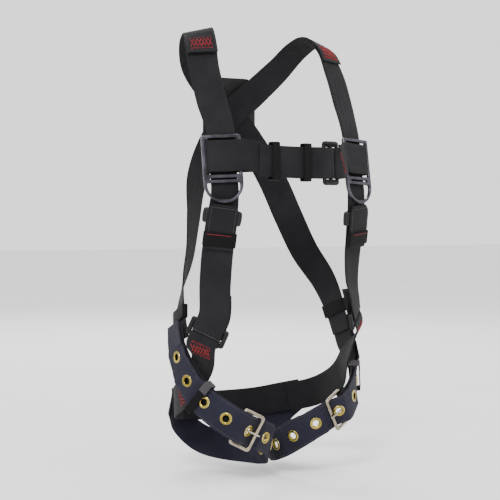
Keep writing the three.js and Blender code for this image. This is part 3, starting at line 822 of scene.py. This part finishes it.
# ---- materials ----
class Nodes:
    """A new material and short calls for its nodes."""

    def __init__(self, name, metallic=0.0, sheen=0.0, specular=0.5):
        self.material = bpy.data.materials.new(name)
        self.material.use_nodes = True
        self.tree = self.material.node_tree
        self.shader = self.tree.nodes["Principled BSDF"]
        values = {"Metallic": metallic, "Sheen Weight": sheen, "Sheen Roughness": 0.5,
                  "Specular IOR Level": specular}
        for key, value in values.items():
            self.shader.inputs[key].default_value = value

    def node(self, kind, **inputs):
        made = self.tree.nodes.new("ShaderNode" + kind)
        for key, value in inputs.items():
            self.feed(made.inputs[key.replace("_", " ")], value)
        return made

    def feed(self, socket, value):
        if isinstance(value, bpy.types.NodeSocket):
            self.tree.links.new(value, socket)
        else:
            socket.default_value = value

    def math(self, operation, a, b=0.0, c=0.0):
        made = self.tree.nodes.new("ShaderNodeMath")
        made.operation = operation
        for socket, value in zip(made.inputs, (a, b, c)):
            self.feed(socket, value)
        return made.outputs[0]

    def weave(self):
        """Places across and along the piece, in metres."""
        uv = self.node("UVMap")
        uv.uv_map = "Weave"
        return self.node("SeparateXYZ", Vector=uv.outputs[0]).outputs[:2]

    def noise(self, scale, detail=3.0, rough=0.55, stretch=None):
        coordinates = self.node("TexCoord").outputs["Object"]
        if stretch:
            coordinates = self.node("Mapping", Vector=coordinates, Scale=stretch).outputs[0]
        made = self.node("TexNoise", Vector=coordinates, Scale=scale, Detail=detail, Roughness=rough)
        return made.outputs["Fac"]

    def ramp(self, factor, low, high, start=0.3, end=0.7):
        made = self.node("ValToRGB", Fac=factor)
        for element, (place, colour) in zip(made.color_ramp.elements, ((start, low), (end, high))):
            element.position = place
            element.color = (*colour, 1)
        return made.outputs["Color"]

    def span(self, factor, low, high, start=0.0, end=1.0):
        made = self.node("MapRange", Value=factor)
        for socket, value in zip(made.inputs[1:5], (start, end, low, high)):
            socket.default_value = value
        return made.outputs[0]

    def mix(self, factor, a, b):
        made = self.tree.nodes.new("ShaderNodeMix")
        made.data_type = "RGBA"
        self.feed(made.inputs["Factor"], factor)
        self.feed(made.inputs[6], a)
        self.feed(made.inputs[7], b)
        return made.outputs[2]

    def finish(self, colour, roughness, height, distance, strength):
        bump = self.node("Bump", Height=height, Distance=distance, Strength=strength)
        self.feed(self.shader.inputs["Base Color"], colour)
        self.feed(self.shader.inputs["Roughness"], roughness)
        self.feed(self.shader.inputs["Normal"], bump.outputs[0])
        return self.material


CHEVRON = 0.0056  # width of one herringbone column, metres
PICK = 0.0015  # spacing of the weft
WARP = 0.0011  # spacing of the warp
RIB = 0.0013  # spacing of an elastic band's ribs and of a thread's twist
KNIT = 0.0009  # spacing of an elastic band's cross threads


def woven(name, dark, light, dust):
    """Herringbone webbing: twill ribs that change direction in columns, with painted shade darkening
    the grooves between the ribs, worn and dusty in places.
    """
    m = Nodes(name, sheen=0.04, specular=0.12)
    across, along = m.weave()
    zigzag = m.math("PINGPONG", across, CHEVRON)
    twill = m.math("SINE", m.math("MULTIPLY", m.math("ADD", along, zigzag), TAU / PICK))
    picks = m.math("SINE", m.math("MULTIPLY", across, TAU / WARP))
    height = m.math("MULTIPLY_ADD", picks, 0.35, m.math("MULTIPLY", twill, 0.65))
    groove_shade_mask = m.span(height, 0.0, 1.0, -1.0, 1.0)
    # painted shade: the thread colour is darker in the grooves of the weave and lighter on the raised
    # ribs
    thread = m.ramp(groove_shade_mask, dark, light, 0.15, 0.85)
    fade = m.span(m.noise(14, 4), 0.0, 0.55, 0.42, 0.75)
    fuzz = m.span(m.noise(900, 2), 0.0, 0.3, 0.5, 0.85)
    worn = m.mix(fade, thread, m.mix(0.5, thread, (*dust, 1)))
    colour = m.mix(fuzz, worn, (*dust, 1))
    roughness = m.span(m.noise(60), 0.72, 0.95)
    return m.finish(colour, roughness, height, 0.00012, 0.8)


def elastic(name, dark, light):
    """Knitted elastic band: fine ribs along it with cross threads, and painted shade darkening the
    grooves between them.
    """
    m = Nodes(name, sheen=0.01, specular=0.1)
    across, along = m.weave()
    ribs = m.math("SINE", m.math("MULTIPLY", across, TAU / RIB))
    knit = m.math("SINE", m.math("MULTIPLY", along, TAU / KNIT))
    height = m.math("MULTIPLY_ADD", knit, 0.3, m.math("MULTIPLY", ribs, 0.7))
    # painted shade: the thread colour darkens in the grooves of the knit
    thread = m.ramp(m.span(height, 0.0, 1.0, -1.0, 1.0), dark, light, 0.1, 0.9)
    colour = m.mix(m.span(m.noise(30), 0, 0.5, 0.4, 0.8), thread, (*light, 1))
    return m.finish(colour, m.span(m.noise(80), 0.55, 0.8), height, 0.0002, 0.8)


def metal(name, dark, light, low, high, edge_wear_and_highlight, metallic=1.0):
    """Metal with a cloudy finish, fine grain and rubbed edges, whose pale colour is partly wear and
    partly a painted highlight.
    """
    m = Nodes(name, metallic=metallic)
    clouds = m.ramp(m.noise(35, 4), dark, light, 0.35, 0.7)
    geometry = m.node("NewGeometry")
    # pointy edges take the last colour: partly real rubbed wear, partly a painted highlight
    rubbed_and_highlit_edges = m.span(geometry.outputs["Pointiness"], 0.0, 1.0, 0.52, 0.6)
    patches = m.math("MULTIPLY", rubbed_and_highlit_edges, m.span(m.noise(90, 4), 0.2, 1.0, 0.4, 0.65))
    colour = m.mix(patches, clouds, (*edge_wear_and_highlight, 1))
    fine = m.noise(260, 5, 0.6)
    scratches = m.noise(500, 2, 0.5, stretch=(1, 1, 0.05))
    height = m.math("MULTIPLY_ADD", scratches, 0.5, fine)
    return m.finish(colour, m.span(m.noise(120, 4), low, high, 0.3, 0.7), height, 0.00003, 0.6)


def moulded(name, dark, light):
    """Moulded plastic with a fine pebbled skin and scuffs."""
    m = Nodes(name, specular=0.3)
    pebbles = m.node("TexVoronoi", Vector=m.node("TexCoord").outputs["Object"], Scale=900.0)
    scuffs = m.span(m.noise(50, 5), 0.0, 0.6, 0.5, 0.75)
    colour = m.mix(scuffs, (*dark, 1), (*light, 1))
    roughness = m.span(m.noise(70), 0.38, 0.6)
    return m.finish(colour, roughness, pebbles.outputs["Distance"], 0.00008, 0.5)


def thread_look(name, dark, light):
    """Twisted polyester thread."""
    m = Nodes(name, sheen=0.1, specular=0.3)
    across, along = m.weave()
    twist = m.math("ADD", m.math("MULTIPLY", across, TAU / RIB), m.math("MULTIPLY", along, TAU / WARP))
    height = m.math("SINE", twist)
    colour = m.mix(m.span(m.noise(260), 0, 1, 0.35, 0.7), (*dark, 1), (*light, 1))
    return m.finish(colour, m.span(m.noise(100), 0.5, 0.7), height, 0.0001, 0.7)


WEBBING = woven("webbing", (0.0015, 0.0015, 0.002), (0.012, 0.0115, 0.0135), (0.026, 0.025, 0.028))
LEG_WEBBING = woven("leg_webbing", (0.002, 0.002, 0.005), (0.017, 0.0165, 0.030),
                    (0.035, 0.034, 0.052))
BAND = elastic("keeper_band", (0.0008, 0.0008, 0.001), (0.004, 0.004, 0.0048))
GREY_BAND = elastic("keeper_band_grey", (0.022, 0.02, 0.023), (0.062, 0.057, 0.063))
PLASTIC = moulded("keeper_plastic", (0.002, 0.002, 0.0025), (0.009, 0.009, 0.0105))
# each metal's last colour is for its rubbed edges: partly wear, partly a painted highlight
GUNMETAL = metal("gunmetal", (0.028, 0.027, 0.033), (0.075, 0.072, 0.088), 0.22, 0.42,
                 (0.30, 0.29, 0.33))
BLACK_METAL = metal("black_metal", (0.0015, 0.0015, 0.002), (0.006, 0.006, 0.007), 0.35, 0.55,
                    (0.02, 0.02, 0.022), metallic=0.6)
NICKEL = metal("nickel", (0.13, 0.11, 0.075), (0.40, 0.35, 0.26), 0.06, 0.16, (0.85, 0.8, 0.7))
BRASS = metal("brass", (0.17, 0.125, 0.018), (0.42, 0.32, 0.065), 0.12, 0.28, (0.8, 0.68, 0.3))
RED_THREAD = thread_look("red_thread", (0.13, 0.003, 0.006), (0.34, 0.010, 0.018))
BLACK_THREAD = thread_look("black_thread", (0.012, 0.012, 0.013), (0.05, 0.05, 0.052))


# ---- camera, floor and light ----
CAMERA_AT = (-1.0, -1.732, 0.318)  # 2 m away, level with the stomach
CAMERA_DOWN = 1.504  # degrees below level
CAMERA_TURN = 29.355  # degrees from +Y towards +X
FLOOR_HALF = 12
FLOOR_GAP = 0.012  # below the lowest point of the harness


def add_camera():
    data = bpy.data.cameras.new("camera")
    data.lens = 96
    data.sensor_width = 36
    camera = linked("camera", data)
    camera.location = CAMERA_AT
    camera.rotation_euler = (math.radians(90 - CAMERA_DOWN), 0, math.radians(-CAMERA_TURN))
    bpy.context.scene.camera = camera


def area_light(name, place, target, size, power):
    data = bpy.data.lights.new(name, "AREA")
    data.shape = "DISK"
    data.size = size
    data.energy = power
    light = linked(name, data)
    light.location = place
    light.rotation_euler = (Vector(target) - Vector(place)).to_track_quat("-Z", "Y").to_euler()


def add_studio():
    world = bpy.data.worlds.new("studio")
    world.use_nodes = True
    background = world.node_tree.nodes["Background"]
    background.inputs["Color"].default_value = (1, 1, 1, 1)
    background.inputs["Strength"].default_value = 1.6
    bpy.context.scene.world = world
    middle = (0, 0, 0.3)
    area_light("key", (-1.9, -2.1, 2.2), middle, 1.0, 95)
    area_light("fill", (2.2, -1.6, 1.2), middle, 1.8, 9)
    area_light("back", (0.8, 2.4, 1.9), middle, 1.5, 50)
    mesh = bpy.data.meshes.new("floor")
    corners = [(x * FLOOR_HALF, y * FLOOR_HALF, 0) for x, y in ((-1, -1), (1, -1), (1, 1), (-1, 1))]
    mesh.from_pydata(corners, [], [(0, 1, 2, 3)])
    floor = linked("floor", mesh)
    floor.location.z = CAD_BOX[0][2] - FLOOR_GAP
    m = Nodes("floor", specular=0.2)
    pale = m.ramp(m.noise(3, 2), (0.82, 0.82, 0.82), (0.86, 0.86, 0.86))
    mesh.materials.append(m.finish(pale, m.span(m.noise(5), 0.8, 0.9), m.noise(150), 0.0001, 0.2))


# ---- webbing pieces ----
SHOULDER_TACK_AT = 17
SHOULDER_BOX = (3.5, 44, 20)  # stitched box at the shoulder seam: start, end, half width
HIP_TACK_AT = 18  # past the adjuster's lower bar
HIP_TACK_WIDTH = 29
REAR_TACK = 0.62  # second hip tack, as a part of the strap
SEAT_TACK_AT = 26  # from each end of the seat strap
HOLE_CLEAR = 0.5  # webbing holes are wider than the grommets by this
SELVEDGE = 19.5  # the leg strap's side stitching from its middle
TONGUE_SLOT = (22, 7.2)
MARKS = (78, 104)  # red marks on the leg buckle strap, from its end
CHEST_TACK_AT = 8.5


def strap(node, mesh, side="left"):
    whole(node, "webbing", mesh, WEBBING, side)


def red_tacks(name, tacks, node, side="left"):
    piece(name, joined(tacks), RED_THREAD, node, side, False)


def black_stitching(name, rows, node, side="left"):
    piece(name, joined(rows), BLACK_THREAD, node, side, False)


def add_torso(side):
    strap(f"torso_strap_{side}", ribbon(torso_path(side)), side)


def add_back(side):
    path = back_path(side)
    node = f"back_strap_{side}"
    strap(node, ribbon(path), side)
    red_tacks(f"shoulder_tack_{side}", w_tack(path, SHOULDER_TACK_AT), node, side)
    black_stitching(f"shoulder_stitching_{side}", box_stitch(path, *SHOULDER_BOX), node, side)


def add_hip(side):
    path = hip_path(side)
    node = f"hip_strap_{side}"
    strap(node, ribbon(path), side)
    bar = pi * FOLD + HIP_END
    tacks = [*w_tack(path, bar + HIP_TACK_AT, HIP_TACK_WIDTH), *w_tack(path, path.length * REAR_TACK)]
    red_tacks(f"hip_tacks_{side}", tacks, node, side)


def add_seat():
    path = seat_path()
    strap("seat_strap", ribbon(path))
    for side, place in (("left", path.length - SEAT_TACK_AT), ("right", SEAT_TACK_AT)):
        red_tacks(f"seat_tack_{side}", w_tack(path, place), "seat_strap")


def block(p, f, outer, reach):
    """Straight block centred on p, across the webbing's thickness. The outline runs along and
    across the strap."""
    rings = [[p + f.n * end + f.t * x + f.w * y for x, y in outer] for end in (-reach, reach)]
    return loft(rings, [0] * (len(outer) + 1), [0, 0])


def add_leg(side):
    path, seats = leg_path(side)
    node = f"leg_strap_{side}"
    holes = []
    for f in seats:
        reach = f.n * 4
        ends = [f.p - reach, f.p + reach]
        holes.append(rounded_bar(ends, GROMMET_HOLE + HOLE_CLEAR, sides=32, ends=False))
    mesh = cut(ribbon(path), joined(holes))
    whole(node, "webbing", mesh, LEG_WEBBING, side)
    rows = []
    for across in (-SELVEDGE, SELVEDGE):
        rows += stitch_row(path, 6, path.length - 5, across)
    black_stitching(f"{node}_stitching", rows, node, side)
    for k, f in enumerate(seats, 1):
        whole(f"grommet_{k}_{side}", "rolled", grommet(f), BRASS, side)


def add_buckle_strap(side):
    path = buckle_strap_path(side)
    b = buckle_frame(side)
    cutter = block(b.p + b.t * HINGE_REACH, b, rectangle(*TONGUE_SLOT, r=3), 8)
    node = f"leg_buckle_strap_{side}"
    strap(node, cut(ribbon(path), cutter), side)
    marks = []
    for place in MARKS:
        start = path.length - place
        marks.append(satin(path, (start - 3, -19), (start + 3, -19), 1.2, 0.8, SURFACE + 0.2))
    red_tacks(f"{node}_tack", marks, node, side)


def add_chest():
    path = chest_long_path()
    node = "chest_strap_right"
    strap(node, ribbon(path), "right")
    rows = [mesh for inset in (4, 8) for mesh in cross_row(path, path.length - inset, 20)]
    black_stitching("chest_strap_end_stitching", rows, node, "right")
    path = chest_short_path()
    strap("chest_loop_left", ribbon(path))
    place = path.length - pi * FOLD - CHEST_END - CHEST_TACK_AT
    ends = [(place, -16), (place, 16)]
    bars = [satin(path, *ends, 1.6, 0.8, way * (SURFACE + 0.2)) for way in (-1, 1)]
    red_tacks("chest_loop_tack", bars, "chest_loop_left")


# ---- hardware ----
SLOT = (38, 2.0)  # slot of the chest ring
ADJUSTER_WINDOW = WEB + 1.4
ADJUSTER_GAP_SHADE_RIB = (WEB + 6, 1.2)  # thin dark rib between the adjuster's two folds of webbing, a dark sheet standing in for the shade in the gap between them
BAR_HALF = WEB / 2 + 0.6
BAR_RADIUS = 2.15
TONGUE_RADIUS = 1.55
TONGUE_TURN = 4.4  # radius of the tongue's coil round the hinge bar
TONGUE_ARM = [(8, 5.2), (0, 5.3), (-8, 4.7), (-13, 4.2), (-16.5, 4.0), (-19, 3.2)]
CHEST_BUCKLE_HEIGHT = 64
CHEST_BAY = (8, 47)
RIDGE_AT = 28.4  # ridge across each end of the chest buckle


def d_shape(half, low, top, low_radius, top_radius):
    sides = ((half, low, low_radius), (half, top, top_radius))
    return outline([*sides, *((-x, y, r) for x, y, r in reversed(sides))])


def add_ring(side):
    half = RING_WIDTH / 2
    outer = d_shape(half, RING_EYE - half, RING_TOP, half - 0.01, 3)
    inner, head = half - BAR, RING_TOP - BAR
    eye = d_shape(inner, RING_EYE - inner, RING_EYE, inner - 3, 2)
    window = rectangle(2 * inner, head - RING_WINDOW, 0, (head + RING_WINDOW) / 2, 2.5)
    slot = rectangle(*SLOT, 0, RING_SLOT, 0.9)
    place = on_strap(ring_frame(side), 5) @ Matrix.Translation((RING_SHIFT, 0, 0))
    mesh = plate(outer, [window, slot, eye], RING_THICK, 1.3, place)
    whole(f"chest_ring_{side}", "forged", mesh, GUNMETAL, side)


def add_adjuster(side):
    place = adjuster_basis(side)
    outer = rectangle(ADJUSTER_WIDTH, ADJUSTER_HEIGHT, 0, ADJUSTER_MIDDLE, 4)
    window = rectangle(ADJUSTER_WINDOW, ADJUSTER_HEIGHT - 2 * BAR, 0, ADJUSTER_MIDDLE, 2)
    # painted shade: a dark rib fills the gap between the two folds, where there is only shade
    gap_shade_rib = plate(rectangle(*ADJUSTER_GAP_SHADE_RIB, 0, ADJUSTER_FOOT / 2, 0.4), [], 5.4, 0.3, place)
    mesh = joined([plate(outer, [window], 5.0, 2.0, place), gap_shade_rib])
    whole(f"adjuster_frame_{side}", "stamped", mesh, BLACK_METAL, side)
    parts = [plate(rectangle(2 * BAR_HALF, 4.4, r=1.8), [], 4.2, 1.6, place)]
    for k in range(-10, 11):
        x = k * 2 * (BAR_HALF - 2) / 20
        ring = [local(place, x, BAR_RADIUS * cos(a), BAR_RADIUS * sin(a))
                for a in np.linspace(0, TAU, 17)]
        parts.append(rounded_bar(ring, 0.3, sides=5, ends=False))
    whole(f"adjuster_bar_{side}", "knurled", joined(parts), BLACK_METAL, side)


def add_leg_buckle(side):
    place = buckle_basis(side)
    outer = rectangle(BUCKLE_LENGTH, BUCKLE_WIDTH, r=5)
    window = rectangle(BUCKLE_LENGTH - 2 * BAR, BUCKLE_WIDTH - 2 * BAR, r=2.5)
    mesh = plate(outer, [window], BUCKLE_THICK, 2.0, place)
    whole(f"leg_buckle_{side}", "polished", mesh, NICKEL, side)
    points = []
    for i in range(25):
        a = math.radians(-200 + 290 * i / 24)
        x, z = TONGUE_TURN * cos(a), TONGUE_TURN * sin(a)
        points.append(local(place, HINGE_REACH + x, 0, z))
    points += [local(place, x, 0, z) for x, z in TONGUE_ARM]
    tongue = rounded_bar(resampled(points, 70), TONGUE_RADIUS, sides=14)
    whole(f"buckle_tongue_{side}", "rod", tongue, NICKEL, side)


def resampled(points, count):
    route = Route(points)
    return [route.point(i / count) for i in range(count + 1)]


def grommet(f):
    """Rolled eyelet: a domed flange in front, a flatter washer behind and the barrel between."""
    face, rim, bore = SURFACE + 0.25, GROMMET_R, GROMMET_HOLE - 0.5
    middle, half = (rim + bore) / 2, (rim - bore) / 2
    profile = [(rim, face)]
    for i in range(9):
        a = pi * i / 8
        profile.append((middle + half * cos(a), face + 1.25 * sin(a)))
    profile += [(bore, 0), (bore, -face)]
    for i in range(1, 6):
        a = pi * i / 6
        profile.append((middle - half * cos(a), -face - 0.7 * sin(a)))
    profile += [(rim, -face), (bore + 0.9, -face + 0.02), (bore + 0.9, face - 0.02)]
    side = np.cross(f.t, f.n)
    rings = []
    for k in range(48):
        out = f.t * cos(TAU * k / 48) + side * sin(TAU * k / 48)
        rings.append([f.p + out * r + f.n * h for r, h in profile])
    return loft(rings, [0] * (len(profile) + 1), [0] * 49, closed=True)


def add_chest_buckle():
    place = chest_buckle_basis(False)
    outer = rectangle(CHEST_BAR_AT * 2 + 4, CHEST_BUCKLE_HEIGHT, r=5)
    bays = [rectangle(*CHEST_BAY, x, r=1.6) for x in (-CHEST_BAR_AT / 2, CHEST_BAR_AT / 2)]
    parts = [plate(outer, bays, 5.0, 1.6, place)]
    for end in (-1, 1):
        ridge = [local(place, x, end * RIDGE_AT, 2.2 + 1.5 * cos(x / 9))
                 for x in np.linspace(-10, 10, 9)]
        parts.append(rounded_bar(ridge, 2.4, sides=12))
    for x in (-CHEST_BAR_AT, 0):
        for k in range(-12, 13):
            ends = [local(place, x + end, k * 2.1, 2.3) for end in (-1.2, 1.2)]
            parts.append(rounded_bar(ends, 0.55, sides=6))
    whole("chest_buckle", "cast", joined(parts), BLACK_METAL)


# ---- keepers: clear width and depth, wall and length of each sleeve ----
CHEST_KEEPER = (50.8, 10.2, 2.0)
LEG_KEEPER = (49, 14.0, 1.2, 12)
PATCH = (51.5, 16.5, 0.3, 12.4)
PATCH_END = -10.5  # the patch is on this side of the leg strap's middle
LEG_KEEPER_AT = 90  # past the buckle
BACK_KEEPER = (47, 5.0, 1.8, 20)
BACK_KEEPER_AT = 36 / 39  # along the back strap's route
SLIDER = (46.6, 4, 2.6, 21)
SLIDER_AT = 0.607  # along the torso strap's route
WING_AT = 26.2  # grips at the slider's sides, from its middle
FLAP_TOP = 0.575
FLAP_SPAN = 0.125
FLAP_STEPS = 36
FLAP_LIFT = 5.9
FLAP_WIDTH = 44
FLAP_NECK = 30  # the flap's width at its top edge
NECK_STEPS = 6
TAB = (44.6, 3.4, 1.6, 20)
TAB_STEP = 27


def band(node, mesh, side="left"):
    whole(node, "band", mesh, BAND, side)


def add_chest_keepers():
    for name in ("inner", "outer"):
        node = f"chest_keeper_{name}"
        low, high = (np.array(corner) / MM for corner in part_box(node))
        f = Frame((low + high) / 2, vec(1, 0, 0), vec(0, -1, 0), UP, WEB)
        band(node, sleeve(f, *CHEST_KEEPER, high[0] - low[0]))


def add_leg_keeper(side):
    """Elastic band with a grey patch round its upper end."""
    path, _ = leg_path(side)
    f = path.at(path.along[round(BUCKLE_AT * LEG_SECTIONS)] + LEG_KEEPER_AT)
    node = f"leg_keeper_{side}"
    band(node, sleeve(f, *LEG_KEEPER, -2), side)
    rest = block(f.p, f, rectangle(40, 60, y=30 + PATCH_END, r=1), 20)
    patch = cut(sleeve(f, *PATCH, -1.8), rest)
    piece(f"{node}_patch", patch, GREY_BAND, node, side, False)


def add_back_keeper(side):
    f = BACK_ROUTE.at(BACK_KEEPER_AT, BACK_LIFT[side])
    band(f"back_keeper_{side}", sleeve(f, *BACK_KEEPER), side)


def add_lanyard_keeper(side):
    route = torso_route(side)
    f = route.at(SLIDER_AT)
    parts = [sleeve(f, *SLIDER)]
    for way in (-1, 1):
        for lift in (-1.5, 1.5):
            edge = f.p + f.w * way * WING_AT + f.n * lift
            points = [edge + f.t * x - f.w * way * x * x / 90 for x in np.linspace(-8, 8, 9)]
            parts.append(rounded_bar(points, 2.0, sides=10))
    whole(f"lanyard_keeper_slider_{side}", "moulded", joined(parts), PLASTIC, side)
    frames = []
    for i in range(FLAP_STEPS + 1):
        f = route.at(FLAP_TOP + FLAP_SPAN * i / FLAP_STEPS)
        width = FLAP_WIDTH
        if i <= NECK_STEPS:
            width = FLAP_NECK + (FLAP_WIDTH - FLAP_NECK) * smooth(math.sqrt(i / NECK_STEPS))
        frames.append(f._replace(p=f.p + f.n * FLAP_LIFT, width=width))
    path = Path(frames)
    node = f"lanyard_keeper_flap_{side}"
    strap(node, ribbon(path, 1.8), side)
    rows = [mesh for across in (-17.5, 17.5) for mesh in stitch_row(path, 5, path.length - 4, across)]
    black_stitching(f"{node}_stitching", [*rows, *cross_row(path, 5, 17)], node, side)
    node = f"lanyard_keeper_tab_{side}"
    band(node, sleeve(frames[TAB_STEP], *TAB), side)
    red = cross_row(path, path.along[TAB_STEP] - 6.5, 19, 3.6, 3.2, 0.6)
    red_tacks(f"{node}_stitching", red, node, side)


# ---- dorsal attachment ----
PLATE_THICK = 4
LUG_AT = 15
LUG_BORE = 5.4
D_BAR = 7
D_HALF = 31
D_ARC = -20  # centre of the D-ring's curve, below its bar


def add_dorsal():
    low, high = (np.array(corner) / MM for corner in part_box("dorsal_plate"))
    width, height = high[0] - low[0], high[2] - low[2]
    face = PLATE_THICK / 2
    place = basis(vec(0, low[1] + face, (low[2] + high[2]) / 2), UP, vec(0, 1, 0))
    parts = [plate(rectangle(width, height, r=18), [], PLATE_THICK, 1.2, place)]
    frame_outer, frame_inner = (rectangle(width - cut_back, height - cut_back, r=r)
                                for cut_back, r in ((14, 13), (22, 10)))
    raised = place @ Matrix.Translation((0, 0, face + 0.5))
    parts.append(plate(frame_outer, [frame_inner], 1.8, 0.7, raised))
    for x in (-1, 1):
        for y in (-1, 1):
            ridge = [local(place, x * (12 + 14 * f), y * (44 - 12 * f), face + 0.3)
                     for f in np.linspace(0, 1, 5)]
            parts.append(rounded_bar(ridge, 1.3, sides=10))
    joints = frame["record"]["behaviour"]["joints"]
    pivot = next(np.array(j["pos_m"]) / MM for j in joints if j["name"] == "dorsal_ring_swing")
    for x in (-LUG_AT, LUG_AT):
        across = place_matrix(vec(0, 1, 0), UP, vec(1, 0, 0), vec(x, *pivot[1:]))
        lug = outline([(8, -8, 7.5), (8, 8, 7.5), (-6.5, 8, 1.5), (-6.5, -8, 1.5)])
        bore = [(LUG_BORE * cos(a), LUG_BORE * sin(a)) for a in np.linspace(0, TAU, 33)[:-1]]
        parts.append(plate(lug, [bore], 8, 1.0, across))
    whole("dorsal_plate", "moulded", joined(parts), PLASTIC)
    inner = D_HALF - D_BAR
    outer = d_shape(D_HALF, D_ARC - D_HALF, D_BAR / 2, D_HALF - 0.01, 3)
    eye = d_shape(inner, D_ARC - inner, -D_BAR / 2, inner - 2.5, 2)
    ring = plate(outer, [eye], 6.4, 2.6, basis(pivot, UP, vec(0, 1, 0)))
    whole("dorsal_d_ring", "forged", ring, GUNMETAL)


add_camera()
add_studio()
for each in SIDES:
    for add in (add_torso, add_back, add_hip, add_leg, add_buckle_strap, add_ring, add_adjuster,
                add_leg_buckle, add_leg_keeper, add_back_keeper, add_lanyard_keeper):
        add(each)
add_seat()
add_chest()
add_chest_buckle()
add_chest_keepers()
add_dorsal()
